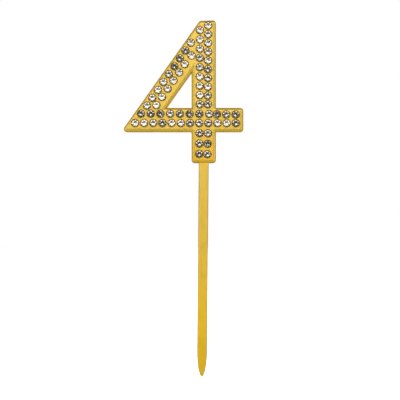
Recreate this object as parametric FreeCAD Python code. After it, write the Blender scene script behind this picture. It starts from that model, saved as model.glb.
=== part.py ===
import FreeCAD
import Part

import math
import os

# Number-four cake topper pick, in millimetres.
#
# Frame: the origin is the middle of the pick's root, where it leaves the underside of the
# number's foot, half way through the plate. +Z is up, the face looks along -Y, and +X is to
# the reader's right. The number and its pick are one plastic moulding. Foil-backed round
# stones sit in round seats in the face, each on a dot of clear glue.

Vec = FreeCAD.Vector

# ---- Number -------------------------------------------------------------------------------
NUMBER_HEIGHT = 51.0       # foot's underside to the top of the stem
PLATE_THICKNESS = 3.0
STEM_WIDTH = 8.7
BAR_BOTTOM = 11.05         # height of the crossbar's lower edge
BAR_HEIGHT = 8.7
BAR_RIGHT = 14.15          # crossbar's right end, from the stem's middle
TOP_LEFT = -1.45           # where the diagonal's outer edge meets the top edge
TOP_FALL = 0.2             # the top edge drops this much from right to left
DIAGONAL_LEAN = 35.3       # degrees from vertical
DIAGONAL_WIDTH = 8.45
OUTER_CORNER = 1.15        # corner radii, seen from the front
INNER_CORNER = 0.3
BEVEL_WIDTH = 0.8          # the face's rim slopes back all round
BEVEL_DEPTH = 0.6
FACE_ROUND = 1.4           # rounding where the face rolls over into the bevel
SHOULDER_ROUND = 0.8       # rounding where the bevel meets the side walls
BACK_ROUND = 0.3           # rounding of the back's rim
CUTTER_MARGIN = 1.0        # how far cutting tools reach beyond the plate

# ---- Pick ---------------------------------------------------------------------------------
PICK_LENGTH = 76.0
PICK_WIDTH = 3.5
PICK_THICKNESS = 2.0
PICK_LEAN = 0.5            # degrees off square, tip towards -X
PICK_ROUND = 0.3           # rounding of the blade's edges
TIP_LENGTH = 8.9           # seen from the front, the tip is half an ellipse this long
TIP_THICKNESS = 1.0        # seen from the side, the pick thins to this at its end
TIP_TAPER_LENGTH = 14.0
ROOT_OVERLAP = 3.0         # how far the pick's blade runs up inside the foot

# ---- Stones -------------------------------------------------------------------------------
STONE_DIAMETER = 2.4       # the common SS8 size, across the girdle's eight points
TABLE_DIAMETER = 1.25      # across the flat top's corners
MAIN_FACETS = 8
CROWN_HEIGHT = 0.43
GIRDLE_HEIGHT = 0.2        # at its points; the cut wears it thin between them
PAVILION_DEPTH = 0.93      # the foiled underside, from the girdle's points to the stone's point
TURN_STEP = 137.508        # each stone is turned this much from the one before, in degrees
GIRDLE_RISE = 0.06         # the girdle's lower edge stands this far proud of the face
SEAT_MOUTH = 3.1           # the seat's diameter at the face
SEAT_FLOOR = 2.6           # and where its wall meets the cone of its floor
SEAT_WALL_DEPTH = 0.42
SEAT_CONE_DEPTH = 0.53
GLUE_TOP = 0.5             # the glue fills the seat from this depth down

HALF_STEM = STEM_WIDTH / 2
BAR_TOP = BAR_BOTTOM + BAR_HEIGHT
SLOPE = math.tan(math.radians(DIAGONAL_LEAN))
FACE_Y = -PLATE_THICKNESS / 2
BACK_Y = PLATE_THICKNESS / 2
STONE_POINT_Y = FACE_Y - GIRDLE_RISE + PAVILION_DEPTH

# Every row of stones is one or more even runs: first stone (x, z), last stone (x, z), count.
STONE_ROWS = {
    "stem_left": [((-1.35, 47.30), (-1.43, 20.93), 9)],
    "stem_right": [((1.58, 48.97), (1.47, 20.92), 10)],
    "diagonal_outer": [((-4.59, 42.84), (-20.24, 20.46), 9)],
    "diagonal_inner": [((-4.35, 38.31), (-4.35, 38.31), 1), ((-6.77, 35.22), (-16.87, 20.65), 6)],
    "bar_upper": [((-22.34, 17.60), (-1.57, 17.52), 7), ((1.93, 17.47), (1.93, 17.47), 1),
                  ((4.66, 17.37), (11.35, 17.30), 3)],
    "bar_lower": [((-24.48, 14.27), (11.41, 14.21), 12)],
    "foot_left": [((-1.47, 10.64), (-1.59, 3.26), 3)],
    "foot_right": [((1.49, 10.58), (1.30, 3.16), 3)],
}


def outer_edge_x(z):
    """Where the diagonal's outer edge is at height z."""
    return TOP_LEFT - SLOPE * (NUMBER_HEIGHT - TOP_FALL - z)


def inner_edge_x(z):
    """Where the diagonal's inner edge is at height z."""
    return outer_edge_x(z) + DIAGONAL_WIDTH / math.cos(math.radians(DIAGONAL_LEAN))


# ---- Number -------------------------------------------------------------------------------
def rounded_wire(corners, y):
    """A closed wire in the plane y through (x, z, radius) corners, rounded by tangent arcs."""
    arcs = []
    for i, (x, z, radius) in enumerate(corners):
        after = corners[(i + 1) % len(corners)]
        corner = Vec(x, y, z)
        towards_last = (Vec(corners[i - 1][0], y, corners[i - 1][1]) - corner).normalize()
        towards_next = (Vec(after[0], y, after[1]) - corner).normalize()
        half_angle = towards_last.getAngle(towards_next) / 2
        reach = radius / math.tan(half_angle)
        to_arc = radius / math.sin(half_angle) - radius
        inwards = (towards_last + towards_next).normalize()
        arcs.append(Part.Arc(
            corner + towards_last * reach, corner + inwards * to_arc, corner + towards_next * reach
        ))
    edges = []
    for i, arc in enumerate(arcs):
        edges.append(arc.toShape())
        edges.append(Part.LineSegment(arc.EndPoint, arcs[(i + 1) % len(arcs)].StartPoint).toShape())
    return Part.Wire(edges)


def number_corners():
    """The four's outside corners, from the foot's lower left one to the right and round."""
    return [
        (-HALF_STEM, 0, OUTER_CORNER),
        (HALF_STEM, 0, OUTER_CORNER),
        (HALF_STEM, BAR_BOTTOM, INNER_CORNER),
        (BAR_RIGHT, BAR_BOTTOM, OUTER_CORNER),
        (BAR_RIGHT, BAR_TOP, OUTER_CORNER),
        (HALF_STEM, BAR_TOP, INNER_CORNER),
        (HALF_STEM, NUMBER_HEIGHT, OUTER_CORNER),
        (TOP_LEFT, NUMBER_HEIGHT - TOP_FALL, OUTER_CORNER),
        (outer_edge_x(BAR_BOTTOM), BAR_BOTTOM, OUTER_CORNER),
        (-HALF_STEM, BAR_BOTTOM, INNER_CORNER),
    ]


def edges_at(shape, y):
    """The shape's edges that lie in the plane y."""
    return [e for e in shape.Edges if all(abs(v.Y - y) < 1e-6 for v in e.Vertexes)]


def counter_side(start, end, middle):
    """The counter's side of one of its edges: a long bar that flares over both rims."""
    length = (end - start).Length
    reach = length + NUMBER_HEIGHT / 2
    beyond = CUTTER_MARGIN
    along = (end - start).normalize()
    outwards = along.cross(Vec(0, 1, 0))
    if outwards.dot(middle - start) > 0:
        outwards = -outwards

    def at(distance, y):
        return start - along * reach + outwards * distance + Vec(0, y, 0)

    profile = Part.makePolygon([
        at(-reach, FACE_Y - beyond),
        at(BEVEL_WIDTH * (1 + beyond / BEVEL_DEPTH), FACE_Y - beyond),
        at(0, FACE_Y + BEVEL_DEPTH),
        at(0, BACK_Y - BACK_ROUND),
        at(BACK_ROUND + beyond, BACK_Y + beyond),
        at(-reach, BACK_Y + beyond),
        at(-reach, FACE_Y - beyond),
    ])
    return Part.Face(profile).extrude(along * (length + 2 * reach))


def counter_tool():
    """The triangular opening's cutter, whose three bevels meet in mitres."""
    apex_z = BAR_TOP + (-HALF_STEM - inner_edge_x(BAR_TOP)) / SLOPE
    corners = [
        Vec(inner_edge_x(BAR_TOP), 0, BAR_TOP),
        Vec(-HALF_STEM, 0, apex_z),
        Vec(-HALF_STEM, 0, BAR_TOP),
    ]
    middle = (corners[0] + corners[1] + corners[2]) / 3
    tool = counter_side(corners[0], corners[1], middle)
    tool = tool.common(counter_side(corners[1], corners[2], middle))
    return tool.common(counter_side(corners[2], corners[0], middle))


def number_plate():
    """The four as a plate with a bevelled face, pierced by its counter."""
    outline = Part.Face(rounded_wire(number_corners(), FACE_Y))
    plate = outline.extrude(Vec(0, PLATE_THICKNESS, 0))
    plate = plate.makeFillet(BACK_ROUND, edges_at(plate, BACK_Y))
    plate = plate.makeChamfer(BEVEL_DEPTH, BEVEL_WIDTH, edges_at(plate, FACE_Y))
    plate = plate.cut(counter_tool())
    plate = plate.makeFillet(SHOULDER_ROUND, edges_at(plate, FACE_Y + BEVEL_DEPTH))
    return plate.makeFillet(FACE_ROUND, edges_at(plate, FACE_Y))


# ---- Pick ---------------------------------------------------------------------------------
def runs_up_the_side(edge):
    """Whether an edge of the blade lies half way through its thickness."""
    return abs(edge.CenterOfMass.y) < TIP_THICKNESS / 4


def pick_front_view():
    """The blade's outline from the front, a strip with a half-elliptical tip, as a slab."""
    half = PICK_WIDTH / 2
    shoulder = TIP_LENGTH - PICK_LENGTH
    left, right = Vec(-half, 0, shoulder), Vec(half, 0, shoulder)
    ellipse = Part.Ellipse(Vec(0, 0, -PICK_LENGTH), right, Vec(0, 0, shoulder))
    tip = Part.ArcOfEllipse(ellipse, ellipse.parameter(left), ellipse.parameter(right)).toShape()
    if tip.BoundBox.ZMax > shoulder + 1:
        tip = Part.ArcOfEllipse(ellipse, ellipse.parameter(right), ellipse.parameter(left)).toShape()
    top_left, top_right = Vec(-half, 0, ROOT_OVERLAP), Vec(half, 0, ROOT_OVERLAP)
    sides = Part.makePolygon([left, top_left, top_right, right])
    face = Part.Face(Part.Wire(Part.__sortEdges__(sides.Edges + [tip])))
    face.translate(Vec(0, -PICK_THICKNESS / 2, 0))
    return face.extrude(Vec(0, PICK_THICKNESS, 0))


def pick_side_view():
    """The blade's outline from the side, which thins towards the tip, as a slab."""
    half, tip_half = PICK_THICKNESS / 2, TIP_THICKNESS / 2
    taper_start = TIP_TAPER_LENGTH - PICK_LENGTH
    below = -PICK_LENGTH - 1
    profile = Part.makePolygon([
        Vec(-PICK_WIDTH, -half, ROOT_OVERLAP),
        Vec(-PICK_WIDTH, -half, taper_start),
        Vec(-PICK_WIDTH, -tip_half, -PICK_LENGTH),
        Vec(-PICK_WIDTH, -tip_half, below),
        Vec(-PICK_WIDTH, tip_half, below),
        Vec(-PICK_WIDTH, tip_half, -PICK_LENGTH),
        Vec(-PICK_WIDTH, half, taper_start),
        Vec(-PICK_WIDTH, half, ROOT_OVERLAP),
        Vec(-PICK_WIDTH, -half, ROOT_OVERLAP),
    ])
    return Part.Face(profile).extrude(Vec(2 * PICK_WIDTH, 0, 0))


def pick():
    """The pick's blade, leaning a little, with its top inside the foot."""
    blade = pick_front_view().common(pick_side_view())
    rim = [e for e in blade.Edges if e.BoundBox.ZLength > PICK_WIDTH and not runs_up_the_side(e)]
    blade = blade.makeFillet(PICK_ROUND, rim)
    blade.rotate(Vec(0, 0, 0), Vec(0, 1, 0), PICK_LEAN)
    return blade


# ---- Stones -------------------------------------------------------------------------------
def run_points(first, last, count):
    """Evenly spaced (x, z) points from first to last."""
    steps = max(count - 1, 1)
    return [
        (first[0] + (last[0] - first[0]) * i / steps, first[1] + (last[1] - first[1]) * i / steps)
        for i in range(count)
    ]


def row_points(row):
    """The (x, z) centre of each stone in a row, in order."""
    return [point for run in STONE_ROWS[row] for point in run_points(*run)]


def ring(diameter, height, turn, offset):
    """One level of the cut: an octagon's corners facing -Y, at a height above the point."""
    corners = []
    for i in range(MAIN_FACETS):
        angle = math.radians(turn + (i + offset) * 360 / MAIN_FACETS)
        corners.append(Vec(math.cos(angle), 0, math.sin(angle)) * (diameter / 2) - Vec(0, height, 0))
    return corners


def girdle_ring(height, scallop, turn):
    """The girdle's sixteen corners, alternately its points and the scallops between them."""
    points = ring(STONE_DIAMETER, height, turn, 0.5)
    betweens = ring(STONE_DIAMETER, height + scallop, turn, 0)
    return [corner for pair in zip(betweens, points) for corner in pair]


def stone_facets(turn):
    """The corners of every facet of one stone whose point is at the origin."""
    girdle_top = PAVILION_DEPTH + GIRDLE_HEIGHT
    radius = STONE_DIAMETER / 2
    chord = radius * math.cos(math.pi / MAIN_FACETS)
    # The crown's and the pavilion's flat facets carry on past the chord between two points.
    crown_slope = CROWN_HEIGHT / (chord - TABLE_DIAMETER / 2)
    pavilion_slope = PAVILION_DEPTH / chord
    table = ring(TABLE_DIAMETER, girdle_top + CROWN_HEIGHT, turn, 0)
    upper = girdle_ring(girdle_top, -crown_slope * (radius - chord), turn)
    lower = girdle_ring(PAVILION_DEPTH, pavilion_slope * (radius - chord), turn)
    point = Vec(0, 0, 0)

    facets = [table]
    for i in range(MAIN_FACETS):
        between, after = 2 * i, 2 * i + 1
        beyond = (after + 1) % len(upper)
        facets.append([table[i], table[(i + 1) % MAIN_FACETS], upper[after]])
        facets.append([table[i], upper[after], upper[between], upper[between - 1]])
        facets.append([upper[between], upper[after], lower[after], lower[between]])
        facets.append([upper[after], upper[beyond], lower[beyond], lower[after]])
        facets.append([point, lower[between - 1], lower[between], lower[after]])
    return facets


def stone(x, z, turn):
    """A round cut stone with its foiled point in the seat and its crown proud."""
    faces = [Part.Face(Part.makePolygon(c + c[:1])) for c in stone_facets(turn)]
    solid = Part.Solid(Part.Shell(faces))
    if solid.Volume < 0:
        solid.reverse()
    solid.translate(Vec(x, STONE_POINT_Y, z))
    return solid


def seat_cutter(x, z):
    """A seat's tapering wall and the flatter cone of its floor, open to the front."""
    mouth, floor = SEAT_MOUTH / 2, SEAT_FLOOR / 2
    opened = mouth + (mouth - floor) * CUTTER_MARGIN / SEAT_WALL_DEPTH
    profile = Part.makePolygon([
        Vec(0, FACE_Y - CUTTER_MARGIN, 0),
        Vec(opened, FACE_Y - CUTTER_MARGIN, 0),
        Vec(floor, FACE_Y + SEAT_WALL_DEPTH, 0),
        Vec(0, FACE_Y + SEAT_WALL_DEPTH + SEAT_CONE_DEPTH, 0),
        Vec(0, FACE_Y - CUTTER_MARGIN, 0),
    ])
    cutter = Part.Face(profile).revolve(Vec(0, 0, 0), Vec(0, 1, 0), 360)
    cutter.translate(Vec(x, 0, z))
    return cutter


def glue_dot(x, z, set_stone):
    """The clear glue that fills the lower part of a seat, round the stone's point."""
    slope = SEAT_FLOOR / 2 / SEAT_CONE_DEPTH
    depth = SEAT_WALL_DEPTH + SEAT_CONE_DEPTH - GLUE_TOP
    top = Vec(x, FACE_Y + GLUE_TOP, z)
    return Part.makeCone(slope * depth, 0, depth, top, Vec(0, 1, 0)).cut(set_stone)


# ---- Moulding -----------------------------------------------------------------------------
def moulding(points):
    """The number and its pick as one piece, with a seat at every stone."""
    body = number_plate().fuse(pick()).removeSplitter()
    body = body.cut([seat_cutter(x, z) for x, z in points])
    return body.Solids[0]


def export(name, solids):
    shape = solids[0] if len(solids) == 1 else Part.makeCompound(solids)
    shape.exportStep("parts/" + name + ".step")


if __name__ == "__main__":
    os.makedirs("parts", exist_ok=True)
    points = {row: row_points(row) for row in STONE_ROWS}
    every_point = [point for row in points.values() for point in row]
    export("number_and_pick", [moulding(every_point)])

    stones, glue = {}, {}
    count = 0
    for row in points:
        for x, z in points[row]:
            one = stone(x, z, TURN_STEP * count)
            count += 1
            stones.setdefault(row, []).append(one)
            glue.setdefault(row.split("_")[0], []).append(glue_dot(x, z, one))

    # A node for each stone, but the crossbar's two rows go by columns, to keep the file count low.
    columns = list(zip([None] + stones.pop("bar_upper"), stones.pop("bar_lower")))
    for row, row_stones in stones.items():
        for i, one in enumerate(row_stones, 1):
            export(f"{row}_stone_{i:02d}", [one])
    for i, column in enumerate(columns, 1):
        export(f"bar_column_{i:02d}_stones", [one for one in column if one])
    for part, dots in glue.items():
        export(f"{part}_glue_dots", dots)
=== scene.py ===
import bmesh
import bpy
import math
import random
from mathutils import Matrix, Vector


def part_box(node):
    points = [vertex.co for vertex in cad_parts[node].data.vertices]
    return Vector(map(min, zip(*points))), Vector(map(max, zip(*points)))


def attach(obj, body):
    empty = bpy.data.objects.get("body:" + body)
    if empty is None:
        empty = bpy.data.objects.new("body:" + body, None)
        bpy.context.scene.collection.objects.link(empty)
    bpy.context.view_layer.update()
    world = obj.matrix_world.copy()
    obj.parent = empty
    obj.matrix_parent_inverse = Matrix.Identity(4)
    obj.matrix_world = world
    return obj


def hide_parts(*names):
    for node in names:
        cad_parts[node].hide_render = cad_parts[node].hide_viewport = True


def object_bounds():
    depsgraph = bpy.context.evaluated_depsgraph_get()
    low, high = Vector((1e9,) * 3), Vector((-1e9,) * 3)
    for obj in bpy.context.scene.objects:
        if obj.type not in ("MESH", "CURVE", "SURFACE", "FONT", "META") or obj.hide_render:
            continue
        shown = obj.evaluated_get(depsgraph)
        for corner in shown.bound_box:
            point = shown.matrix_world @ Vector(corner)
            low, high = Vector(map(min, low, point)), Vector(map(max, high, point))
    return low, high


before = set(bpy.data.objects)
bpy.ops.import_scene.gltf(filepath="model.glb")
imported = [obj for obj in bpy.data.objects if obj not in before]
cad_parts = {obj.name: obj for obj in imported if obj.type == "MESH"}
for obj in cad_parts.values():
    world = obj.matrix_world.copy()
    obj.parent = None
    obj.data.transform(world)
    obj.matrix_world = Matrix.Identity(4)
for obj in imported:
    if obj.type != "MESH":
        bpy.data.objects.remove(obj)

# Number-four cake topper pick. The moulding keeps its CAD shape and gets a gold plastic
# material; every stone is rebuilt as a cut crystal with foil behind it, leaning a little in
# its seat, on its own dot of glue.

CAD_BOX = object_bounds()
MM = 0.001
scene = bpy.context.scene

# ---- Stones, seats and glue, in millimetres ----------------------------------------------------
STONE_DIAMETER = 2.38
TABLE_DIAMETER = 1.30
CROWN_HEIGHT = 0.40
GIRDLE_HEIGHT = 0.17
PAVILION_DEPTH = 0.89
MAIN_FACETS = 8
STONE_TILT = 6.0            # degrees, the most that a stone leans about an axis, besides its nod
SEED = 31
GIRDLE_RISE = 0.01          # how far the girdle's lower edge stands proud of the face
SEAT_FLOOR = 2.6            # the CAD seat's diameter where its wall meets its conical floor
SEAT_WALL_DEPTH = 0.42
SEAT_CONE_DEPTH = 0.53
GLUE_TOP = 0.52             # depth of the glue's surface, half way from the seat to the stone
GLUE_CREEP = 0.08           # how far the glue creeps up the seat's side and the stone
GLUE_SIDES = 32
GLUE_TO_STONE = 0.02        # the glue stays this far below the stone's underside
GLUE_TO_FLOOR = 0.005       # and this far above the deepest point of the seat
GLUE_AROUND_STONE = 1.03    # its inner rim's radius, as a share of the stone's at that height
GLUE_IN_SEAT = 0.995        # its outer rim's radius, as a share of the seat's

# How far each row's stones nod, in degrees: down where the number is positive, up where negative.
# The values bring each row's brightness near the photo's.
ROW_NOD = {
    "stem_left": -1.0, "stem_right": 1.5, "diagonal_outer": 3.0, "diagonal_inner": -4.0,
    "bar_upper": 2.5, "bar_lower": -0.8, "foot_left": 2.0, "foot_right": 5.0,
}

# ---- Gold --------------------------------------------------------------------------------------
NUMBER_GOLD = (0.70, 0.473, 0.056)
FOOT_GOLD = (0.745, 0.467, 0.025)       # the bottom of the number
PALE_GOLD = (0.72, 0.465, 0.050)        # the top of the pick
DEEP_GOLD = (0.82, 0.498, 0.009)        # the pick's tip
# Painted shade: the bevels and the sides get darker golds by how far they turn from the face.
BEVEL_PAINTED_SHADE = (0.48, 0.288, 0.019)
SIDE_SHADED_GOLD = (0.66, 0.420, 0.035)
PICK_EDGE_PAINTED_SHADE = (0.09, 0.050, 0.004)   # painted shade: the thin dark line where the pick's edges round over

# A range is of how squarely a surface looks out of the face or the back: 0 on a side, 1 on the
# face. Over FACE_RANGE a colour turns into the face's gold. Under it comes painted shade: the
# bevels' darker gold and the pick's dark edge line, which turn into the sides' slightly shaded gold
# towards the low end of their own ranges.
FACE_RANGE = (0.70, 0.99)
BEVEL_SHADE_RANGE = (0.45, 0.75)
PICK_EDGE_SHADE_RANGE = (0.02, 0.25)

# Heights in metres between which one gold turns into the next.
PICK_LOW_Z, PICK_TOP_Z = -0.070, -0.002
FOOT_Z, FOOT_TOP_Z = 0.001, 0.014

# ---- Camera and floor, in millimetres ----------------------------------------------------------
SENSOR_WIDTH = 36
CAMERA_DISTANCE = 450
VIEW_WIDTH = 142.8          # how much of the object's plane the view spans
CAMERA_X, CAMERA_Z = -1.335, -13.10
FLOOR_RADIUS = 1200
FLOOR_GAP = 0.2             # the floor lies this far under the pick's tip


# ---- Node helpers ------------------------------------------------------------------------------
COLOUR_A, COLOUR_B, COLOUR_OUT = 6, 7, 2    # the colour sockets of a Mix node, by number


def new_material(name):
    """A node material, its tree and its Principled shader."""
    material = bpy.data.materials.new(name)
    material.use_nodes = True
    tree = material.node_tree
    return material, tree, tree.nodes["Principled BSDF"]


def add(tree, kind, inputs=None, **settings):
    """A shader node with its settings and unlinked input values."""
    node = tree.nodes.new(kind)
    for name, value in settings.items():
        setattr(node, name, value)
    for name, value in (inputs or {}).items():
        node.inputs[name].default_value = value
    return node


def ramp(tree, factor, *stops):
    """A colour ramp of (position, grey or colour) stops, fed by a factor."""
    node = tree.nodes.new("ShaderNodeValToRGB")
    elements = node.color_ramp.elements
    while len(elements) < len(stops):
        elements.new(0.5)
    for element, (position, colour) in zip(elements, stops):
        element.position = position
        element.color = (colour, colour, colour, 1) if isinstance(colour, float) else (*colour, 1)
    tree.links.new(factor, node.inputs["Fac"])
    return node.outputs["Color"]


# ---- Materials ---------------------------------------------------------------------------------
def gold_plastic():
    """Gold plastic, paler up the number, deeper down the pick, with painted shade on its edges."""
    material, tree, shader = new_material("gold_plastic")
    link = tree.links.new
    where = add(tree, "ShaderNodeTexCoord")
    spot = add(tree, "ShaderNodeSeparateXYZ")
    link(where.outputs["Object"], spot.inputs[0])
    slope = add(tree, "ShaderNodeSeparateXYZ")
    link(where.outputs["Normal"], slope.inputs[0])

    def blend(factor, first, second):
        """Two colours mixed by a factor; each is a socket or a plain colour."""
        node = add(tree, "ShaderNodeMix", data_type="RGBA")
        link(factor, node.inputs["Factor"])
        for number, value in ((COLOUR_A, first), (COLOUR_B, second)):
            if isinstance(value, tuple):
                node.inputs[number].default_value = (*value, 1)
            else:
                link(value, node.inputs[number])
        return node.outputs[COLOUR_OUT]

    def between(value, low, high):
        """0 below low, 1 above high and a smooth step between them."""
        node = add(tree, "ShaderNodeMapRange", {"From Min": low, "From Max": high},
                   interpolation_type="SMOOTHSTEP")
        link(value, node.inputs["Value"])
        return node.outputs["Result"]

    pick = blend(between(spot.outputs["Z"], PICK_LOW_Z, PICK_TOP_Z), DEEP_GOLD, PALE_GOLD)
    number = blend(between(spot.outputs["Z"], FOOT_Z, FOOT_TOP_Z), FOOT_GOLD, NUMBER_GOLD)
    on_number = between(spot.outputs["Z"], PICK_TOP_Z, FOOT_Z)
    colour = blend(on_number, pick, number)

    stretch = add(tree, "ShaderNodeMapping", {"Scale": (1.0, 1.0, 0.3)})
    link(where.outputs["Object"], stretch.inputs["Vector"])
    flow = add(tree, "ShaderNodeTexNoise", {"Scale": 420.0, "Detail": 4.0, "Roughness": 0.55,
                                            "Distortion": 0.8})
    link(stretch.outputs["Vector"], flow.inputs["Vector"])
    streaks = ramp(tree, flow.outputs["Fac"], (0.32, 0.90), (0.52, 1.0), (0.75, 1.0))
    streaked = add(tree, "ShaderNodeMix", {"Factor": 1.0}, data_type="RGBA", blend_type="MULTIPLY")
    link(colour, streaked.inputs[COLOUR_A])
    link(streaks, streaked.inputs[COLOUR_B])
    colour = streaked.outputs[COLOUR_OUT]

    # Painted shade: bevels, sides and the pick's rounded edges darken as they turn from the face.
    steep = add(tree, "ShaderNodeMath", operation="ABSOLUTE")
    link(slope.outputs["Y"], steep.inputs[0])
    bevel_shade = blend(between(steep.outputs[0], *BEVEL_SHADE_RANGE), SIDE_SHADED_GOLD, BEVEL_PAINTED_SHADE)
    pick_edge_shade = blend(between(steep.outputs[0], *PICK_EDGE_SHADE_RANGE), SIDE_SHADED_GOLD, PICK_EDGE_PAINTED_SHADE)
    edge = blend(on_number, pick_edge_shade, bevel_shade)
    colour = blend(between(steep.outputs[0], *FACE_RANGE), edge, colour)
    link(colour, shader.inputs["Base Color"])

    rough = ramp(tree, flow.outputs["Fac"], (0.3, 0.40), (0.7, 0.34))
    link(rough, shader.inputs["Roughness"])
    shader.inputs["Metallic"].default_value = 0.5
    shader.inputs["IOR"].default_value = 1.5
    shader.inputs["Coat Weight"].default_value = 0.25
    shader.inputs["Coat Roughness"].default_value = 0.18
    grain = add(tree, "ShaderNodeTexNoise", {"Scale": 2600.0, "Detail": 3.0})
    link(where.outputs["Object"], grain.inputs["Vector"])
    bump = add(tree, "ShaderNodeBump", {"Strength": 0.08, "Distance": 0.00005})
    link(grain.outputs["Fac"], bump.inputs["Height"])
    link(bump.outputs["Normal"], shader.inputs["Normal"])
    return material


def crystal():
    """Clear cut glass."""
    material, _, shader = new_material("crystal")
    shader.inputs["Base Color"].default_value = (0.97, 0.975, 0.99, 1)
    shader.inputs["Roughness"].default_value = 0.0
    shader.inputs["IOR"].default_value = 1.56
    shader.inputs["Transmission Weight"].default_value = 1.0
    return material


def silver_foil():
    """The mirror foil behind a stone."""
    material, _, shader = new_material("silver_foil")
    shader.inputs["Base Color"].default_value = (0.74, 0.70, 0.63, 1)
    shader.inputs["Metallic"].default_value = 1.0
    shader.inputs["Roughness"].default_value = 0.04
    return material


def clear_glue():
    """Hardened clear glue as an opaque amber: the gold under it, with painted shade of the seat."""
    material, _, shader = new_material("clear_glue")
    shader.inputs["Base Color"].default_value = (0.50, 0.36, 0.13, 1)
    shader.inputs["Roughness"].default_value = 0.25
    return material


def white_floor():
    """The pale floor, which glows enough to melt into the white background."""
    material, _, shader = new_material("white_floor")
    shader.inputs["Base Color"].default_value = (0.93, 0.93, 0.93, 1)
    shader.inputs["Roughness"].default_value = 0.9
    shader.inputs["Emission Color"].default_value = (1, 1, 1, 1)
    shader.inputs["Emission Strength"].default_value = 1.0
    return material


GOLD, CRYSTAL, FOIL, GLUE = gold_plastic(), crystal(), silver_foil(), clear_glue()


# ---- Stones ------------------------------------------------------------------------------------
def ring(diameter, height, offset=0.0):
    """One level of the cut: an octagon's corners facing -Y, at a height above the point."""
    turns = [(i + offset) * math.tau / MAIN_FACETS for i in range(MAIN_FACETS)]
    radius = diameter / 2
    return [Vector((math.cos(t) * radius, -height, math.sin(t) * radius)) * MM for t in turns]


def girdle_ring(height, scallop):
    """The girdle's sixteen corners, alternately the scallops and the points between them."""
    betweens, points = ring(STONE_DIAMETER, height + scallop), ring(STONE_DIAMETER, height, 0.5)
    return [corner for pair in zip(betweens, points) for corner in pair]


def stone_mesh():
    """A round cut stone with its point at the origin, foil on the facets below the girdle."""
    girdle_top = PAVILION_DEPTH + GIRDLE_HEIGHT
    radius = STONE_DIAMETER / 2
    chord = radius * math.cos(math.pi / MAIN_FACETS)
    crown_slope = CROWN_HEIGHT / (chord - TABLE_DIAMETER / 2)
    pavilion_slope = PAVILION_DEPTH / chord
    cut = bmesh.new()

    def corners(points):
        return [cut.verts.new(p) for p in points]

    table = corners(ring(TABLE_DIAMETER, girdle_top + CROWN_HEIGHT))
    upper = corners(girdle_ring(girdle_top, crown_slope * (chord - radius)))
    lower = corners(girdle_ring(PAVILION_DEPTH, pavilion_slope * (radius - chord)))
    point = cut.verts.new((0, 0, 0))

    def facet(foil, *verts):
        cut.faces.new(verts).material_index = 1 if foil else 0

    facet(False, *table)
    for i in range(MAIN_FACETS):
        between, after = 2 * i, 2 * i + 1
        beyond = (after + 1) % len(upper)
        facet(False, table[i], table[(i + 1) % MAIN_FACETS], upper[after])
        facet(False, table[i], upper[after], upper[between], upper[between - 1])
        facet(False, upper[between], upper[after], lower[after], lower[between])
        facet(False, upper[after], upper[beyond], lower[beyond], lower[after])
        facet(True, point, lower[between - 1], lower[between], lower[after])
    bmesh.ops.recalc_face_normals(cut, faces=cut.faces)
    mesh = bpy.data.meshes.new("cut_stone")
    cut.to_mesh(mesh)
    cut.free()
    mesh.materials.append(CRYSTAL)
    mesh.materials.append(FOIL)
    return mesh


def glue_mesh(mouth, place):
    """Set glue under one stone: it fills the seat's cone and creeps up its side and the stone.

    mouth is the middle of the seat's mouth, and place takes a stone that stands upright on the
    origin to where it leans in the seat.
    """
    climb = GLUE_TOP - GLUE_CREEP
    wall = SEAT_FLOOR / 2 * (1 - (climb - SEAT_WALL_DEPTH) / SEAT_CONE_DEPTH) * GLUE_IN_SEAT
    reach = (PAVILION_DEPTH - GIRDLE_RISE - climb) / PAVILION_DEPTH
    stone_side = STONE_DIAMETER / 2 * reach * GLUE_AROUND_STONE
    seat_depth = SEAT_WALL_DEPTH + SEAT_CONE_DEPTH
    mesh = bmesh.new()

    def circle(radius, depth, placed=None):
        """A ring round the seat at a depth, or round the leaning stone at a height on it."""
        spots = []
        for i in range(GLUE_SIDES):
            angle = math.tau * i / GLUE_SIDES
            spot = Vector((math.cos(angle) * radius, 0, math.sin(angle) * radius)) * MM
            if placed:
                spot = placed @ (spot - Vector((0, depth, 0)) * MM)
            else:
                spot = mouth + spot + Vector((0, depth, 0)) * MM
            spots.append(mesh.verts.new(spot))
        return spots

    outer = circle(wall, climb)
    middle = circle((wall + stone_side) / 2, GLUE_TOP)
    inner = circle(stone_side, reach * PAVILION_DEPTH - GLUE_TO_STONE, place)
    tip = mesh.verts.new(mouth + Vector((0, seat_depth - GLUE_TO_FLOOR, 0)) * MM)
    hollow = mesh.verts.new(place @ Vector((0, GLUE_TO_STONE * MM, 0)))
    for i in range(GLUE_SIDES):
        j = (i + 1) % GLUE_SIDES
        mesh.faces.new((outer[i], outer[j], middle[j], middle[i]))
        mesh.faces.new((middle[i], middle[j], inner[j], inner[i]))
        mesh.faces.new((inner[i], inner[j], hollow))
        mesh.faces.new((outer[j], outer[i], tip))
    bmesh.ops.recalc_face_normals(mesh, faces=mesh.faces)
    for side in mesh.faces:
        side.smooth = True
    glue = bpy.data.meshes.new("glue")
    mesh.to_mesh(glue)
    mesh.free()
    glue.materials.append(GLUE)
    return glue


def solids_in(node):
    """The (lowest corner, highest corner) of each separate solid of a CAD node, highest first."""
    whole = bmesh.new()
    whole.from_mesh(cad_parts[node].data)
    bmesh.ops.remove_doubles(whole, verts=whole.verts, dist=1e-7)
    left, boxes = set(whole.verts), []
    while left:
        reached, edge = set(), [left.pop()]
        while edge:
            vert = edge.pop()
            reached.add(vert)
            for link in vert.link_edges:
                other = link.other_vert(vert)
                if other in left:
                    left.discard(other)
                    edge.append(other)
        low = Vector([min(v.co[i] for v in reached) for i in range(3)])
        high = Vector([max(v.co[i] for v in reached) for i in range(3)])
        boxes.append((low, high))
    whole.free()
    return sorted(boxes, key=lambda box: -box[0].z)


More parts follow.
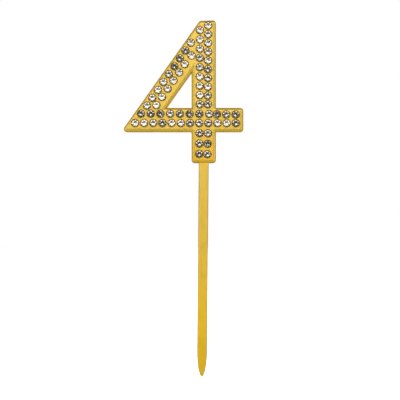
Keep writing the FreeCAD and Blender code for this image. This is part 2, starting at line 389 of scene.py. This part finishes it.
def set_stones():
    """A cut stone in the place of every CAD stone, each turned and leaning a little differently."""
    chance = random.Random(SEED)
    point_y = FACE_Y + (PAVILION_DEPTH - GIRDLE_RISE) * MM
    girdle = Matrix.Translation((0, -PAVILION_DEPTH * MM, 0))
    for node in sorted(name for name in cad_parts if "stone" in name):
        for i, (low, high) in enumerate(solids_in(node), 1):
            row, stone = node.split("_stone")[0], node
            if "column" in node:
                row = "bar_upper" if low.z > BAR_MIDDLE_Z else "bar_lower"
                stone = f"{node}_{i}"
            point = Vector(((low.x + high.x) / 2, point_y, (low.z + high.z) / 2))
            lean = Matrix.Rotation(math.radians(ROW_NOD[row]), 4, "X")
            for axis in "XZ":
                tilt = math.radians(chance.uniform(-STONE_TILT, STONE_TILT))
                lean @= Matrix.Rotation(tilt, 4, axis)
            turn = Matrix.Rotation(chance.uniform(0, math.tau), 4, "Y")
            leaning = Matrix.Translation(point) @ girdle @ lean

            piece = bpy.data.objects.new(f"cut_{stone}", stone_mesh())
            scene.collection.objects.link(piece)
            piece.data.transform(leaning @ turn @ girdle.inverted())
            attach(piece, "root")
            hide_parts(node)

            mouth = Vector((point.x, FACE_Y, point.z))
            glue = glue_mesh(mouth, leaning @ girdle.inverted())
            dot = bpy.data.objects.new(f"glue_under_{stone}", glue)
            scene.collection.objects.link(dot)
            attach(dot, "root")
            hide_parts(node.split("_")[0] + "_glue_dots")


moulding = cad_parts["number_and_pick"]
FACE_Y = min(v.co.y for v in moulding.data.vertices)
BAR_MIDDLE_Z = sum(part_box("bar_column_02_stones")[i][2] for i in (0, 1)) / 2
set_stones()
moulding.data.materials.clear()
moulding.data.materials.append(GOLD)


# ---- Studio ------------------------------------------------------------------------------------
# The room that the object reflects. A patch is (direction, edge and core half-angles in
# degrees, level). The ring round the direction of the camera lights the bevels. The first panel
# is a softbox over the camera, and the second lights the back. The shades darken the room below
# and above: their level is the share of the light that they take away.
FORWARD = (0.0, -1.0, 0.0)
ROOM_LEVEL = 0.2
SIDE_RING = (FORWARD, 74, 62, 2.3)
RING_HOLE = (FORWARD, 54, 42, 1.0)
PANELS = [
    ((0.0, -0.913, 0.407), 25, 15, 3.1),
    ((0.0, 0.944, 0.330), 62, 25, 1.3),
]
SHADES = [
    ((0.0, -0.243, -0.970), 75, 45, 0.7),
    ((0.0, -0.342, 0.940), 34, 20, 0.8),
]


def floor():
    """A round pale floor just under the pick's tip."""
    mesh = bpy.data.meshes.new("floor")
    disc = bmesh.new()
    bmesh.ops.create_circle(disc, cap_ends=True, segments=96, radius=FLOOR_RADIUS * MM)
    disc.to_mesh(mesh)
    disc.free()
    mesh.materials.append(white_floor())
    piece = bpy.data.objects.new("floor", mesh)
    piece.location = (0, 0, CAD_BOX[0][2] - FLOOR_GAP * MM)
    piece.visible_glossy = False
    piece.visible_transmission = False
    scene.collection.objects.link(piece)


def studio_world():
    """White to the camera. To the object, a dim room with the ring, the panels and the shades."""
    world = bpy.data.worlds.new("studio")
    scene.world = world
    world.use_nodes = True
    tree = world.node_tree
    tree.nodes.clear()
    towards = add(tree, "ShaderNodeTexCoord").outputs["Generated"]

    def patch(axis, edge, core, level):
        """A round soft-edged patch of the room: its level inside, 0 outside."""
        facing = add(tree, "ShaderNodeVectorMath", operation="DOT_PRODUCT")
        facing.inputs[1].default_value = Vector(axis).normalized()
        tree.links.new(towards, facing.inputs[0])
        fade = add(tree, "ShaderNodeMapRange", {"From Min": math.cos(math.radians(edge)),
                                                "From Max": math.cos(math.radians(core)),
                                                "To Min": 0.0, "To Max": level},
                   interpolation_type="SMOOTHSTEP")
        tree.links.new(facing.outputs["Value"], fade.inputs["Value"])
        return fade.outputs["Result"]

    def combine(kind, first, second):
        """The result of a math operation on two sockets or numbers."""
        node = add(tree, "ShaderNodeMath", operation=kind)
        for socket, value in zip(node.inputs, (first, second)):
            if isinstance(value, float):
                socket.default_value = value
            else:
                tree.links.new(value, socket)
        return node.outputs[0]

    total = combine("MULTIPLY", patch(*SIDE_RING), combine("SUBTRACT", 1.0, patch(*RING_HOLE)))
    total = combine("ADD", total, ROOM_LEVEL)
    for panel in PANELS:
        total = combine("ADD", total, patch(*panel))
    for shade in SHADES:
        total = combine("MULTIPLY", total, combine("SUBTRACT", 1.0, patch(*shade)))
    lit = add(tree, "ShaderNodeBackground")
    tree.links.new(total, lit.inputs["Strength"])
    plain = add(tree, "ShaderNodeBackground", {"Color": (1, 1, 1, 1)})
    path = add(tree, "ShaderNodeLightPath")
    mix = add(tree, "ShaderNodeMixShader")
    tree.links.new(path.outputs["Is Camera Ray"], mix.inputs[0])
    tree.links.new(lit.outputs[0], mix.inputs[1])
    tree.links.new(plain.outputs[0], mix.inputs[2])
    out = add(tree, "ShaderNodeOutputWorld")
    tree.links.new(mix.outputs[0], out.inputs["Surface"])


def camera():
    """Level and square-on, in front of the object and a little below its middle."""
    lens = bpy.data.cameras.new("camera")
    lens.sensor_width = SENSOR_WIDTH
    lens.lens = SENSOR_WIDTH * CAMERA_DISTANCE / VIEW_WIDTH
    piece = bpy.data.objects.new("camera", lens)
    piece.location = (CAMERA_X * MM, -CAMERA_DISTANCE * MM, CAMERA_Z * MM)
    piece.rotation_euler = (math.pi / 2, 0, 0)
    scene.collection.objects.link(piece)
    scene.camera = piece


floor()
studio_world()
camera()
scene.view_settings.view_transform = "Standard"
